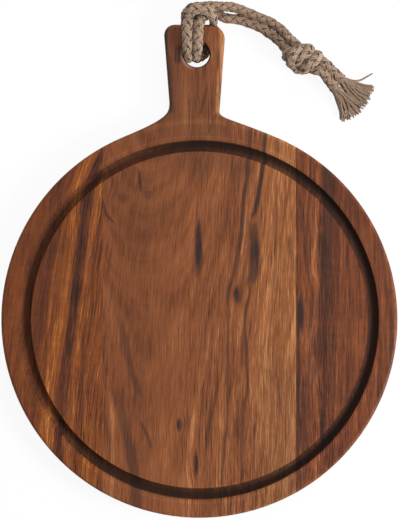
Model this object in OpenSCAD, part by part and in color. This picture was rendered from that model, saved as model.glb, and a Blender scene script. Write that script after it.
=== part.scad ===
// Round pizza serving board with a flared handle, a juice groove and a rope hanger.
// The board is glued up from three staves. The rope is one plaited cord, drawn
// through the handle's hole as a loop and knotted once with both ends together.
// The origin is the centre of the disc's underside, +Y points along the handle.

/* [Board] */
// Diameter of the round plate
board_d = 355; // [320:5:400]
// Thickness of the board
board_t = 19; // [18:0.5:24]
// Rounding of the upper edge all round
top_edge_r = 3; // [1.5:0.5:4]
// Rounding of the lower edge all round
bottom_edge_r = 2; // [1:0.5:3]
// Width of each of the two side staves, measured at the disc's middle
side_stave_w = 91; // [80:1:100]

/* [Juice groove] */
// Flat rim between the disc's edge and the groove
rim_w = 16.5; // [12:0.5:24]
// Width of the groove
groove_w = 10.5; // [9.5:0.5:14]
// Depth of the groove
groove_depth = 4.8; // [4.6:0.1:6]

/* [Handle] */
// Length of the handle past the disc
handle_l = 87; // [84:1:100]
// Distance of the handle's middle line from the disc's middle
handle_shift = -4.4; // [-6:0.1:6]
// Width of the neck, where the handle is narrowest
neck_w = 45; // [40:1:60]
// Width of the handle near its end
handle_end_w = 54.4; // [50:0.2:70]
// Radius of the handle's outer corner on the left
left_corner_r = 9.5; // [5:0.5:14]
// Radius of the handle's outer corner on the right
right_corner_r = 13; // [5:0.5:16]
// Height of the fillet between neck and disc on the left
left_fillet_h = 17; // [10:1:20]
// Height of the fillet between neck and disc on the right
right_fillet_h = 9; // [8:1:20]
// Distance from the disc's middle line to where the left fillet meets the disc
left_fillet_reach = 68; // [60:0.5:80]
// Distance from the disc's middle line to where the right fillet meets the disc
right_fillet_reach = 68; // [60:0.5:80]
// Depth of the relief under the handle, which makes room for rope and fingers
relief_depth = 7.6; // [5:0.2:8]
// Radius of the cove in which the relief runs out
cove_r = 30; // [20:1:40]

/* [Rope hole] */
// Diameter of the hole in the handle
hole_d = 23; // [20:0.5:26]
// Distance of the hole's middle from the handle's middle line
hole_shift = 2; // [0:0.1:3]
// Distance from the handle's end to the hole's middle
hole_inset = 26.7; // [24:0.1:32]
// Rounding of the hole's two mouths
mouth_r = 2; // [1:0.25:2.5]

/* [Rope] */
// Diameter of the free rope
rope_d = 8.2; // [6:0.1:8.2]
// Height of the knot's middle above the table
knot_z = 14.4; // [14.4:0.1:15]
// Radius of the round bearing face between the hitch and the free rope
swing_r = 10; // [9:0.1:10]
// Gap in that bearing face
swing_gap = 0.3; // [0.2:0.05:0.6]

/* [Hidden] */

// colours: three staves of one species and the plaited jute
left_stave_colour = [0.42, 0.25, 0.16];
centre_stave_colour = [0.50, 0.30, 0.19];
right_stave_colour = [0.38, 0.21, 0.15];
rope_colour = [0.66, 0.56, 0.46];

// number of straight pieces in the round shapes
round_fn = 180;
arc_step = 3;
corner_steps = 6;
fillet_steps = 12;
edge_steps = 4;
rope_sides = 10;
strand_sides = 8;

board_r = board_d / 2;
seam_x = board_r - side_stave_w;
handle_end_y = board_r + handle_l;
hole_x = handle_shift + hole_shift;
hole_y = handle_end_y - hole_inset;
groove_r = board_r - rim_w - groove_w / 2;
// one overrun serves every cut
over = 1;

// How far each fillet's curve is pulled along the neck, and along the disc's edge
left_neck_pull = 10;
left_disc_pull = 42;
right_neck_pull = 6;
right_disc_pull = 44;

// Point of a cubic curve with ends a, d and handles b, c
function cubic(a, b, c, d, t) =
    a * pow(1 - t, 3) + 3 * b * t * pow(1 - t, 2) + 3 * c * t * t * (1 - t) + d * pow(t, 3);

// Fillet from the neck out to the disc, side +1 on the right and -1 on the left
function fillet_point(side, h, reach, neck_pull, disc_pull, t) =
    let (neck_x = handle_shift + side * neck_w / 2,
         meet_y = sqrt(board_r * board_r - reach * reach),
         meet = [side * reach, meet_y],
         along = [-side * meet_y, reach] / board_r)
    cubic([neck_x, board_r + h], [neck_x, board_r + h - neck_pull],
          meet + along * disc_pull, meet, t);

function left_fillet(t) =
    fillet_point(-1, left_fillet_h, left_fillet_reach, left_neck_pull, left_disc_pull, t);
function right_fillet(t) =
    fillet_point(1, right_fillet_h, right_fillet_reach, right_neck_pull, right_disc_pull, t);

// Quarter circle of radius r at one of the handle's outer corners, from angle a0 on
function corner_arc(side, r, a0) =
    [for (i = [0 : corner_steps])
        let (a = a0 + 90 * i / corner_steps)
        [handle_shift + side * (handle_end_w / 2 - r) + r * cos(a),
         handle_end_y - r + r * sin(a)]];

// Whole outline in plan, running anticlockwise from the left fillet round the disc
disc_from = 180 - acos(left_fillet_reach / board_r);
disc_to = 360 + acos(right_fillet_reach / board_r);
disc_steps = round((disc_to - disc_from) / arc_step);
outline = concat(
    [for (i = [0 : disc_steps - 1])
        let (a = disc_from + (disc_to - disc_from) * i / disc_steps)
        board_r * [cos(a), sin(a)]],
    [for (i = [0 : fillet_steps]) right_fillet(1 - i / fillet_steps)],
    corner_arc(1, right_corner_r, 0),
    corner_arc(-1, left_corner_r, 90),
    [for (i = [0 : fillet_steps - 1]) left_fillet(i / fillet_steps)]);

function unit(v) = v / norm(v);

// Outward direction of the outline at point i
function outward(i) =
    let (n = len(outline),
         along = unit(outline[(i + 1) % n] - outline[(i + n - 1) % n]))
    [along[1], -along[0]];

// Inset and height of each ring of the rounded edge, from the bottom to the top
edge_rings = concat(
    [for (i = [0 : edge_steps])
        let (a = 90 * i / edge_steps)
        [bottom_edge_r * (1 - sin(a)), bottom_edge_r * (1 - cos(a))]],
    [for (i = [0 : edge_steps])
        let (a = 90 * i / edge_steps)
        [top_edge_r * (1 - cos(a)), board_t - top_edge_r * (1 - sin(a))]]);

// Flat face of the blank: the disc is one convex face, the handle a ladder of strips
function flat_face(first) =
    let (n = len(outline))
    concat([[for (i = [0 : disc_steps]) first + i]],
        [for (k = [0 : fillet_steps + corner_steps])
            [first + disc_steps + k, first + disc_steps + k + 1,
             first + n - k - 1, first + (n - k) % n]]);

function turned_over(faces) = [for (f = faces) [for (i = [len(f) - 1 : -1 : 0]) f[i]]];

// Glued blank, cut to the outline and rounded over along both edges
module blank() {
    n = len(outline);
    rings = len(edge_rings);
    polyhedron(
        points = [for (ring = edge_rings) for (i = [0 : n - 1])
            let (p = outline[i] - outward(i) * ring[0])
            [p[0], p[1], ring[1]]],
        faces = concat(
            flat_face(0),
            turned_over(flat_face((rings - 1) * n)),
            [for (r = [0 : rings - 2]) for (i = [0 : n - 1])
                [r * n + i, (r + 1) * n + i, (r + 1) * n + (i + 1) % n]],
            [for (r = [0 : rings - 2]) for (i = [0 : n - 1])
                [r * n + i, (r + 1) * n + (i + 1) % n, r * n + (i + 1) % n]]));
}

// Same edge on the plain round part, as a turned disc
module turned_disc() {
    rotate_extrude($fn = round_fn) {
        square([board_r - top_edge_r, board_t]);
        square([board_r - bottom_edge_r, board_t - top_edge_r]);
        translate([0, bottom_edge_r])
            square([board_r, board_t - top_edge_r - bottom_edge_r]);
        translate([board_r - top_edge_r, board_t - top_edge_r])
            circle(r = top_edge_r, $fn = 48);
        translate([board_r - bottom_edge_r, bottom_edge_r])
            circle(r = bottom_edge_r, $fn = 48);
    }
}

// Round-bottomed channel that catches juice, as the space the cutter takes
module groove_cut() {
    floor_z = board_t - groove_depth + groove_w / 2;
    rotate_extrude($fn = round_fn) {
        translate([groove_r, floor_z])
            circle(d = groove_w, $fn = 64);
        translate([groove_r - groove_w / 2, floor_z])
            square([groove_w, groove_depth + over]);
    }
}

// Hole for the rope with both mouths rounded
module hole_cut() {
    translate([hole_x, hole_y, 0]) {
        translate([0, 0, relief_depth - over])
            cylinder(d = hole_d, h = board_t - relief_depth + 2 * over, $fn = 96);
        mouth_cut(board_t, 1);
        mouth_cut(relief_depth, -1);
    }
}

// Rounding of one mouth at height z, opening upwards for way +1 and downwards for -1
module mouth_cut(z, way) {
    translate([0, 0, z])
        mirror([0, 0, way > 0 ? 0 : 1])
            rotate_extrude($fn = 96)
                difference() {
                    translate([0, -mouth_r])
                        square([hole_d / 2 + mouth_r, mouth_r + over]);
                    translate([hole_d / 2 + mouth_r, -mouth_r])
                        circle(r = mouth_r, $fn = 48);
                }
}

// Space under the handle, running out in a cove at the neck
module relief_cut() {
    cove_drop = sqrt(cove_r * cove_r - pow(cove_r - relief_depth, 2));
    cove_y = board_r + cove_drop;
    reach = board_d;
    translate([-reach / 2, cove_y, relief_depth - cove_r])
        rotate([0, 90, 0])
            cylinder(r = cove_r, h = reach, $fn = round_fn);
    translate([-reach / 2, cove_y, -over])
        cube([reach, handle_end_y - cove_y + over, relief_depth + over]);
}

// Upright slab between two values of x, which parts the blank along its glue lines
module slab(x0, x1) {
    translate([x0, -board_r - over, -over])
        cube([x1 - x0, board_d + handle_l + 2 * over, board_t + 2 * over]);
}

module stave_left() {
    color(left_stave_colour)
        difference() {
            intersection() {
                turned_disc();
                slab(-board_r - over, -seam_x);
            }
            groove_cut();
        }
}

// The middle stave carries the handle, so the joint lines never cross the neck
module stave_centre() {
    color(centre_stave_colour)
        difference() {
            intersection() {
                blank();
                slab(-seam_x, seam_x);
            }
            groove_cut();
            relief_cut();
            hole_cut();
        }
}

module stave_right() {
    color(right_stave_colour)
        difference() {
            intersection() {
                turned_disc();
                slab(seam_x, board_r + over);
            }
            groove_cut();
        }
}

// Smooth curve through hand-set points: k steps between each pair, any row length
function curve(p, k) =
    let (n = len(p), q = concat([2 * p[0] - p[1]], p, [2 * p[n - 1] - p[n - 2]]))
    concat([for (i = [0 : n - 2]) for (j = [0 : k - 1])
        let (t = j / k, a = q[i], b = q[i + 1], c = q[i + 2], d = q[i + 3])
        (2 * b + (c - a) * t + (2 * a - 5 * b + 4 * c - d) * t * t
            + (3 * b - a - 3 * c + d) * t * t * t) / 2],
        [p[n - 1]]);

function place(row) = [row[0], row[1], row[2]];

function direction(p, i) =
    unit(place(p[min(i + 1, len(p) - 1)]) - place(p[max(i - 1, 0)]));

// Side vector v carried on to direction t without turning about it
function carry(v, t) = unit(v - t * (v * t));

// Closed tube along rows of [x, y, z, width, height], first width along side. Where the
// rope goes on in another tube, before or after holds that tube's nearest row, so that
// both end in the same plane.
module tube(path, side, sides, before = [], after = []) {
    n = len(path);
    line = concat(before, path, after);
    first = len(before);
    along = [for (i = [first : first + n - 1]) direction(line, i)];
    across = [for (i = 0, v = carry(side, along[0]); i < n;
        i = i + 1, v = i < n ? carry(v, along[i]) : v) v];
    polyhedron(
        points = [for (i = [0 : n - 1]) for (s = [0 : sides - 1])
            let (a = 360 * s / sides, up = cross(along[i], across[i]))
            place(path[i]) + across[i] * cos(a) * path[i][3] / 2 + up * sin(a) * path[i][4] / 2],
        faces = concat(
            [for (s = [1 : sides - 2]) [0, s, s + 1]],
            [for (s = [1 : sides - 2])
                [(n - 1) * sides, (n - 1) * sides + s + 1, (n - 1) * sides + s]],
            [for (i = [0 : n - 2]) for (s = [0 : sides - 1])
                [i * sides + s, (i + 1) * sides + s, (i + 1) * sides + (s + 1) % sides]],
            [for (i = [0 : n - 2]) for (s = [0 : sides - 1])
                [i * sides + s, (i + 1) * sides + (s + 1) % sides, i * sides + (s + 1) % sides]]));
}

// Rope route rows of [x, y, z, share of the rope's diameter] as round tube rows
function round_rows(p) = [for (r = p) [r[0], r[1], r[2], r[3] * rope_d, r[3] * rope_d]];

// Middle of the hole in the drawing that the rope's points are taken from. The rope
// keeps its shape and goes wherever the hole goes.
drawn_hole = [-2.4, 237.8];

module at_hole() {
    translate([hole_x - drawn_hole[0], hole_y - drawn_hole[1], 0])
        children();
}

// Hitch: the doubled rope comes in from the right, dives under its own loop, runs
// down the handle's face and through the hole, climbs behind the handle and
// closes in the loop over the top. Points are in millimetres with a size share.
hitch_route = [
    [22, 280.4, 15, 1], [14, 281, 16.5, 0.98], [7, 281, 17.5, 0.96],
    [0.5, 279, 18, 0.95], [-4.4, 275, 18.6, 0.94], [-7.6, 269.4, 20.6, 0.94],
    [-10.2, 263.5, 23.2, 0.98], [-10.8, 252, 23.4, 0.99], [-10, 242.5, 22.8, 0.99],
    [-8.9, 237, 19, 0.97], [-8.6, 235, 13.5, 0.93], [-8.7, 237, 7.5, 0.89],
    [-9.5, 242.5, 4.2, 0.85], [-11.5, 252, 3.8, 0.83], [-13, 261, 3.8, 0.83],
    [-14, 267, 5.6, 0.8], [-15, 269, 11, 0.77], [-15.4, 270.8, 16.5, 0.77],
    [-14, 275, 22.8, 0.82], [-9.2, 278.4, 26.6, 0.92], [-3, 278.9, 27.4, 0.95],
    [3.4, 278, 27, 0.96], [8.8, 275, 25.4, 0.95], [12.1, 271, 20.5, 0.9],
    [13, 268.4, 13.5, 0.82], [12.6, 267.2, 6, 0.82], [12, 261, 3.8, 0.83],
    [9.4, 251.5, 3.8, 0.83], [5.4, 242.5, 4.2, 0.85], [2.2, 237, 7.5, 0.89],
    [0.6, 235, 13.5, 0.93], [0, 237, 19, 0.97], [-0.8, 242.5, 22.8, 0.99],
    [-1.5, 252, 23.4, 0.99], [-1.2, 261.5, 23.4, 0.98], [0.8, 267.5, 20.4, 0.94],
    [4.6, 272, 14.4, 0.92], [9.4, 275.8, 10.2, 0.92], [15.5, 275.6, 9.2, 0.94],
    [22, 272, 8.8, 1]];

// Axis on which the free rope swings, between its two legs
swing_at = [27, 275.5];

// Knot: both strands together, given as rows of [distance along the knot, turn
// about its axis in degrees, distance from that axis, strand size, twist of the
// pair in degrees]. The second half is the first one turned over.
knot_at = [92.6, 236.2];
knot_angle = -36;
knot_half = [
    [-21, 302, 4.9, 7.6, 32], [-15.5, 292, 3.8, 6.2, 22], [-10, 280, 3, 5, 10],
    [-5, 270, 2.8, 4.7, 0], [-1, 270, 2.8, 4.7, 0], [4.5, 270, 3.9, 4.8, 20],
    [9, 263, 6.4, 5, 60], [11.8, 240, 8.7, 5.4, 95], [11.4, 205, 9.8, 5.8, 135],
    [8.8, 165, 10.1, 6, 170], [6.4, 125, 10.1, 6, 180], [4.4, 80, 10.1, 6, 180],
    [2.2, 40, 10.2, 6, 180], [0, 0, 10.2, 6, 180]];
// Space between the two strands of the pair
strand_gap = 0.5;
knot_steps = 3;

knot_rows = curve(concat(knot_half,
    [for (i = [len(knot_half) - 2 : -1 : 0])
        let (r = knot_half[i]) [-r[0], -r[1], r[2], r[3], 360 - r[4]]]), knot_steps);

function knot_radial(r) = [0, cos(r[1]), sin(r[1])];
function knot_middle(r) = [r[0], 0, 0] + knot_radial(r) * r[2];
function knot_direction(i) =
    unit(knot_middle(knot_rows[min(i + 1, len(knot_rows) - 1)])
         - knot_middle(knot_rows[max(i - 1, 0)]));

// Place in the room of a point given along, across and above the knot's axis
function from_knot(p) =
    [knot_at[0] + p[0] * cos(knot_angle) - p[1] * sin(knot_angle),
     knot_at[1] + p[0] * sin(knot_angle) + p[1] * cos(knot_angle),
     knot_z + p[2]];

// One strand of the pair: which is +1 or -1
function knot_strand(which) =
    [for (i = [0 : len(knot_rows) - 1])
        let (r = knot_rows[i],
             flat = unit(cross(knot_direction(i), knot_radial(r))),
             up = cross(flat, knot_direction(i)),
             p = from_knot(knot_middle(r)
                 + which * (flat * cos(r[4]) + up * sin(r[4])) * (r[3] + strand_gap) / 2))
        [p[0], p[1], p[2], r[3], r[3]]];

strand_a = knot_strand(1);
strand_b = knot_strand(-1);

// Free legs from the hitch to the knot: they sink to the table and rise to the knot
leg_upper_route = [
    [14, 281, 16.5], [22, 280.6, 14.5], [28, 281, 12], [35, 279.8, 9.2], [42, 277.6, 7],
    [49, 275, 5.6], [56, 272, 4.7], [63, 268.6, 4.6], [69, 264.8, 5.2], [75.2, 259.6, 7]];
leg_lower_route = [
    [15.5, 275.3, 9.2], [22, 271.8, 8.4], [28, 270.9, 7], [35, 269.6, 5.6], [42, 267.4, 4.8],
    [49, 264.8, 4.4], [56, 261.8, 4.4], [62.4, 258.4, 4.8], [68.4, 254, 6.2]];
leg_steps = 2;

// Leg rows with the knot's own strand start as last row
function leg_rows(route, strand) =
    curve(concat([for (p = route) [p[0], p[1], p[2], rope_d, rope_d]], [strand[0]]), leg_steps);

// Rope ends past the knot, rows of [x, y, z, width, height]: plaited at first,
// then combed out flat into a brush
end_upper_route = [
    [122.2, 223.6, 14.8, 8.2, 8.2], [130, 216.8, 10.2, 9.6, 8.2], [138, 211, 6.8, 12.4, 8],
    [146.4, 205.7, 4.8, 15.6, 7], [154.6, 201, 3.7, 18, 6]];
end_lower_route = [
    [115, 216.6, 14.4, 8.2, 8.2], [121.6, 209, 9.6, 9.8, 8.2], [127.6, 201, 6.6, 12.6, 8],
    [133.2, 192.4, 4.8, 16.8, 7], [138.4, 184, 3.7, 20.6, 6]];
end_steps = 2;

function end_rows(strand, route) = curve(concat([strand[len(strand) - 1]], route), end_steps);

// Upright column in which the legs turn against the hitch
module swing_column(r) {
    translate([swing_at[0], swing_at[1], -over])
        cylinder(r = r, h = 2 * board_t + over, $fn = 96);
}

// A quarter space to the right of the swing axis, where the legs lie free
module beyond_swing() {
    translate([swing_at[0], swing_at[1] - board_r, -over])
        cube([board_r, board_r + handle_l, 2 * board_t + over]);
}

hitch_steps = 3;
hitch_rows = curve(round_rows(hitch_route), hitch_steps);
leg_upper_rows = leg_rows(leg_upper_route, strand_a);
leg_lower_rows = leg_rows(leg_lower_route, strand_b);
end_upper_rows = end_rows(strand_b, end_upper_route);
end_lower_rows = end_rows(strand_a, end_lower_route);

// Row next to the first, and next to the last
function second(p) = [p[1]];
function last_but_one(p) = [p[len(p) - 2]];

module rope_hitch() {
    color(rope_colour)
        at_hole()
            difference() {
                tube(hitch_rows, [0, 0, 1], rope_sides);
                swing_column(swing_r + swing_gap);
            }
}

// Free leg along rows, which goes on in a strand of the knot
module leg(rows, strand) {
    at_hole()
        intersection() {
            tube(rows, [0, 0, 1], rope_sides, after = second(strand));
            union() {
                swing_column(swing_r);
                beyond_swing();
            }
        }
}

module rope_leg_upper() {
    color(rope_colour)
        leg(leg_upper_rows, strand_a);
}

module rope_leg_lower() {
    color(rope_colour)
        leg(leg_lower_rows, strand_b);
}

module rope_knot_upper() {
    color(rope_colour)
        at_hole()
            tube(strand_a, [0, 0, 1], strand_sides,
                before = last_but_one(leg_upper_rows), after = second(end_lower_rows));
}

module rope_knot_lower() {
    color(rope_colour)
        at_hole()
            tube(strand_b, [0, 0, 1], strand_sides,
                before = last_but_one(leg_lower_rows), after = second(end_upper_rows));
}

// Direction across the knot in plan, in which the combed ends spread
across_knot = [-sin(knot_angle), cos(knot_angle), 0];

module rope_end_upper() {
    color(rope_colour)
        at_hole()
            tube(end_upper_rows, across_knot, rope_sides, before = last_but_one(strand_b));
}

module rope_end_lower() {
    color(rope_colour)
        at_hole()
            tube(end_lower_rows, across_knot, rope_sides, before = last_but_one(strand_a));
}

// Length along rows up to each of them
function run_lengths(p) =
    [for (i = 0, s = 0; i < len(p);
        s = s + (i + 1 < len(p) ? norm(place(p[i + 1]) - place(p[i])) : 0), i = i + 1) s];

// Stretches this many rope diameters apart along the rope count as separate turns
apart_share = 2.2;

// Least gap of a tube to itself, between rows more than apart along the tube
function self_gap(p, apart) =
    let (s = run_lengths(p))
    min([for (i = [0 : len(p) - 1]) for (j = [i + 1 : 1 : len(p) - 1])
        if (s[j] - s[i] > apart) norm(place(p[i]) - place(p[j])) - (p[i][3] + p[j][3]) / 2]);

// Least gap between two tubes
function pair_gap(p, q) =
    min([for (a = p) for (b = q) norm(place(a) - place(b)) - (a[3] + b[3]) / 2]);

echo(hitch_gap = self_gap(hitch_rows, apart_share * rope_d));
echo(strand_a_gap = self_gap(strand_a, apart_share * rope_d));
echo(strand_b_gap = self_gap(strand_b, apart_share * rope_d));
echo(strands_gap = pair_gap(strand_a, strand_b));
echo(legs_gap = pair_gap(leg_upper_rows, leg_lower_rows));

stave_left();
stave_centre();
stave_right();
rope_hitch();
rope_leg_upper();
rope_leg_lower();
rope_knot_upper();
rope_knot_lower();
rope_end_upper();
rope_end_lower();
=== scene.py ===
import bpy
import numpy as np
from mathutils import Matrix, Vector


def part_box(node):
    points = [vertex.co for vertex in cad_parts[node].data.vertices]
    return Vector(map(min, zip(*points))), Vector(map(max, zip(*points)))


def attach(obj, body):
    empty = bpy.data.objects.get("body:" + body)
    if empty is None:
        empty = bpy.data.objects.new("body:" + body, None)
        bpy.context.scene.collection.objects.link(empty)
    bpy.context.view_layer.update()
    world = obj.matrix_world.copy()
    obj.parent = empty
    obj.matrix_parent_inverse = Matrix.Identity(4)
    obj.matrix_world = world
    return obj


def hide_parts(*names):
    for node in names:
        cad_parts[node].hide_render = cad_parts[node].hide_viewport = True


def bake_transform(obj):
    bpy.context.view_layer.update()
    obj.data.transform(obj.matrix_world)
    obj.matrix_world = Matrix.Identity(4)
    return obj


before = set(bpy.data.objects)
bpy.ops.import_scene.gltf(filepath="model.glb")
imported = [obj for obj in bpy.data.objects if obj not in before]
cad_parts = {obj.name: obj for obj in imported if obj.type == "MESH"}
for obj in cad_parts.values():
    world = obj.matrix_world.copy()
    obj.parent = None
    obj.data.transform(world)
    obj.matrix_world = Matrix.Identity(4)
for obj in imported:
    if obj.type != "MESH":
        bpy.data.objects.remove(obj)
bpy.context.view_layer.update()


# Camera and studio. The board lies on a white table and is seen from straight above.
# One broad soft lamp stands low on the right and a weaker one beyond the handle, and the
# room adds an even fill.
VIEW_X, VIEW_Y = 0.00055, 0.0536
VIEW_HEIGHT = 0.4652
BOARD_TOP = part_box("stave_centre")[1].z
LENS = 135.0
SENSOR = 36.0

camera_data = bpy.data.cameras.new("camera")
camera_data.lens = LENS
camera_data.sensor_width = SENSOR
camera_data.sensor_fit = "AUTO"
camera = bpy.data.objects.new("camera", camera_data)
camera.location = (VIEW_X, VIEW_Y, BOARD_TOP + VIEW_HEIGHT * LENS / SENSOR)
bpy.context.collection.objects.link(camera)
bpy.context.scene.camera = camera
bpy.context.scene.view_settings.view_transform = "Standard"

KEY_FROM = (1.30, -0.32, 0.85)
KEY_SIZE = 0.60
KEY_WATTS = 30.0
TOP_FROM = (0.10, 1.35, 1.00)
TOP_SIZE = 0.80
TOP_WATTS = 12.0
LAMP_TARGET = (0.0, 0.05, 0.0)
FILL_STRENGTH = 0.36


def aim(thing, place, target):
    """Puts a thing at place, with its own -Z axis pointing at target."""
    thing.location = place
    thing.rotation_euler = (Vector(target) - Vector(place)).to_track_quat("-Z", "Y").to_euler()


for name, place, size, watts in (("key", KEY_FROM, KEY_SIZE, KEY_WATTS),
                                 ("top", TOP_FROM, TOP_SIZE, TOP_WATTS)):
    lamp_data = bpy.data.lights.new(name, "AREA")
    lamp_data.shape = "DISK"
    lamp_data.size = size
    lamp_data.energy = watts
    lamp = bpy.data.objects.new(name, lamp_data)
    bpy.context.collection.objects.link(lamp)
    aim(lamp, place, LAMP_TARGET)

world = bpy.data.worlds.new("studio")
world.use_nodes = True
bpy.context.scene.world = world
sky = world.node_tree


def direct_rays(tree):
    """1 for rays that show the white surroundings themselves, seen straight, mirrored or
    through glass, and 0 for the rays that light the object."""
    kinds = tree.nodes.new("ShaderNodeLightPath")
    found = kinds.outputs["Is Camera Ray"]
    for kind in ("Is Glossy Ray", "Is Transmission Ray"):
        either = tree.nodes.new("ShaderNodeMath")
        either.operation = "MAXIMUM"
        tree.links.new(found, either.inputs[0])
        tree.links.new(kinds.outputs[kind], either.inputs[1])
        found = either.outputs[0]
    return found


backdrop = sky.nodes.new("ShaderNodeBackground")
backdrop.inputs["Strength"].default_value = 1.0
fill = sky.nodes["Background"]
fill.inputs["Color"].default_value = (1.0, 1.0, 1.0, 1.0)
fill.inputs["Strength"].default_value = FILL_STRENGTH
choice = sky.nodes.new("ShaderNodeMixShader")
sky.links.new(direct_rays(sky), choice.inputs[0])
sky.links.new(fill.outputs[0], choice.inputs[1])
sky.links.new(backdrop.outputs[0], choice.inputs[2])
sky.links.new(choice.outputs[0], sky.nodes["World Output"].inputs[0])


def linear(red, green, blue):
    """A colour as it looks on a screen, 0 to 255, as the linear values that a shader takes."""
    level = np.array([red, green, blue]) / 255.0
    rgb = np.where(level <= 0.04045, level / 12.92, ((level + 0.055) / 1.055) ** 2.4)
    return (*rgb.tolist(), 1.0)


TABLE_HALF = 3.0
TABLE_DROP = 0.0004
TABLE_WHITE = linear(245, 245, 245)
TABLE_GLOW = 0.92
table_mesh = bpy.data.meshes.new("table")
table_mesh.from_pydata(
    [(-TABLE_HALF, -TABLE_HALF, 0), (TABLE_HALF, -TABLE_HALF, 0),
     (TABLE_HALF, TABLE_HALF, 0), (-TABLE_HALF, TABLE_HALF, 0)], [], [(0, 1, 2, 3)])
table = bpy.data.objects.new("table", table_mesh)
table.location.z = -TABLE_DROP
bpy.context.collection.objects.link(table)

table_finish = bpy.data.materials.new("white_table")
table_finish.use_nodes = True
tree = table_finish.node_tree
tree.nodes.clear()
matt = tree.nodes.new("ShaderNodeBsdfDiffuse")
matt.inputs["Color"].default_value = TABLE_WHITE
glow = tree.nodes.new("ShaderNodeEmission")
glow.inputs["Strength"].default_value = 1.0
share = tree.nodes.new("ShaderNodeMath")
share.operation = "MULTIPLY"
share.inputs[1].default_value = TABLE_GLOW
mixed = tree.nodes.new("ShaderNodeMixShader")
output = tree.nodes.new("ShaderNodeOutputMaterial")
tree.links.new(direct_rays(tree), share.inputs[0])
tree.links.new(share.outputs[0], mixed.inputs[0])
tree.links.new(matt.outputs[0], mixed.inputs[1])
tree.links.new(glow.outputs[0], mixed.inputs[2])
tree.links.new(mixed.outputs[0], output.inputs[0])
table_mesh.materials.append(table_finish)


# Rope: one jute rope, plaited from eight strands of three yarns. Its middle is pushed
# through the hole and hitched round the handle's end, both halves are knotted together
# once, and both ends are combed out.
ROPE_D = 0.0082
ROPE_WIDE = 1.06

# Rows of x, y and z in metres, the rope's size as a share of its diameter, and how much
# wider than high it is pressed. They follow the solids' routes, but the loop over the
# top is pulled 1 to 2 mm tighter than its solid.

HITCH = np.array([
    [0.014, 0.281, 0.0165, 0.98, 1.06], [0.007, 0.281, 0.0175, 0.96, 1.06],
    [0.0005, 0.279, 0.018, 0.95, 1.06], [-0.0055, 0.2752, 0.0188, 0.94, 1.08],
    [-0.0091, 0.2698, 0.0210, 0.95, 1.18], [-0.0103, 0.2635, 0.0232, 0.98, 1.24],
    [-0.0108, 0.252, 0.0234, 0.99, 1.16], [-0.0104, 0.2425, 0.0228, 0.98, 1.12],
    [-0.0097, 0.2362, 0.019, 0.92, 1.06], [-0.0092, 0.2342, 0.0135, 0.87, 1.04],
    [-0.0092, 0.2365, 0.0075, 0.86, 1.04], [-0.0096, 0.2425, 0.0042, 0.85, 1.04],
    [-0.0115, 0.252, 0.0038, 0.83, 1.04], [-0.013, 0.261, 0.0038, 0.83, 1.04],
    [-0.0132, 0.267, 0.0056, 0.80, 1.04], [-0.0130, 0.2692, 0.011, 0.77, 1.04],
    [-0.0130, 0.2712, 0.0165, 0.80, 1.06], [-0.0120, 0.2738, 0.0225, 0.88, 1.12],
    [-0.0080, 0.2766, 0.0268, 0.96, 1.24], [-0.003, 0.2778, 0.0280, 0.98, 1.32],
    [0.0034, 0.2774, 0.0274, 0.98, 1.30], [0.0088, 0.275, 0.0254, 0.97, 1.20],
    [0.0118, 0.271, 0.0205, 0.92, 1.18], [0.0128, 0.2684, 0.0135, 0.84, 1.04],
    [0.0126, 0.2672, 0.006, 0.82, 1.04], [0.0122, 0.261, 0.0038, 0.83, 1.20],
    [0.0090, 0.2515, 0.0038, 0.83, 1.34], [0.0060, 0.2425, 0.0042, 0.86, 1.36],
    [0.0014, 0.2368, 0.0075, 0.88, 1.20], [-0.0032, 0.2344, 0.0135, 0.87, 1.06],
    [-0.0030, 0.2364, 0.019, 0.93, 1.06], [-0.0018, 0.2425, 0.0228, 0.98, 1.12],
    [-0.0015, 0.252, 0.0234, 0.99, 1.16], [-0.0010, 0.2615, 0.0234, 0.98, 1.16],
    [-0.0002, 0.2668, 0.0216, 0.98, 1.30], [0.0018, 0.2708, 0.0180, 0.97, 1.32],
    [0.0062, 0.2742, 0.0130, 0.94, 1.14], [0.0105, 0.2762, 0.0102, 0.93, 1.06],
    [0.0155, 0.2756, 0.0092, 0.95, 1.06]])
LEG_UPPER = np.array([
    [0.022, 0.2806, 0.0145, 1, 1.06], [0.028, 0.281, 0.012, 1, 1.04],
    [0.035, 0.2794, 0.0092, 1, 1.06], [0.042, 0.2770, 0.007, 1, 1.04],
    [0.049, 0.2743, 0.0056, 1, 1.06], [0.056, 0.2713, 0.0047, 1, 1.04],
    [0.063, 0.2686, 0.0046, 1, 1.06], [0.069, 0.2648, 0.0052, 1, 1.04],
    [0.0752, 0.2596, 0.007, 1, 1.06]])
LEG_LOWER = np.array([
    [0.022, 0.2718, 0.0084, 1, 1.06], [0.028, 0.2709, 0.007, 1, 1.04],
    [0.035, 0.2704, 0.0056, 1, 1.06], [0.042, 0.2684, 0.0048, 1, 1.04],
    [0.049, 0.2660, 0.0044, 1, 1.06], [0.056, 0.2629, 0.0044, 1, 1.04],
    [0.0624, 0.2584, 0.0048, 1, 1.06], [0.0684, 0.254, 0.0062, 1, 1.06]])
END_UPPER = np.array([
    [0.1210, 0.2218, 0.0148, 1, 1.06], [0.1280, 0.216, 0.0102, 1, 1.12],
    [0.1359, 0.2101, 0.0068, 1, 1.16], [0.1438, 0.2052, 0.0048, 1, 1.16],
    [0.1523, 0.2010, 0.0037, 1, 1.16]])
END_LOWER = np.array([
    [0.1148, 0.2164, 0.0144, 1, 1.06], [0.1212, 0.2088, 0.0096, 1, 1.12],
    [0.1269, 0.2018, 0.0066, 1, 1.16], [0.1322, 0.1934, 0.0048, 1, 1.16],
    [0.1375, 0.1843, 0.0037, 1, 1.16]])

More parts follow.
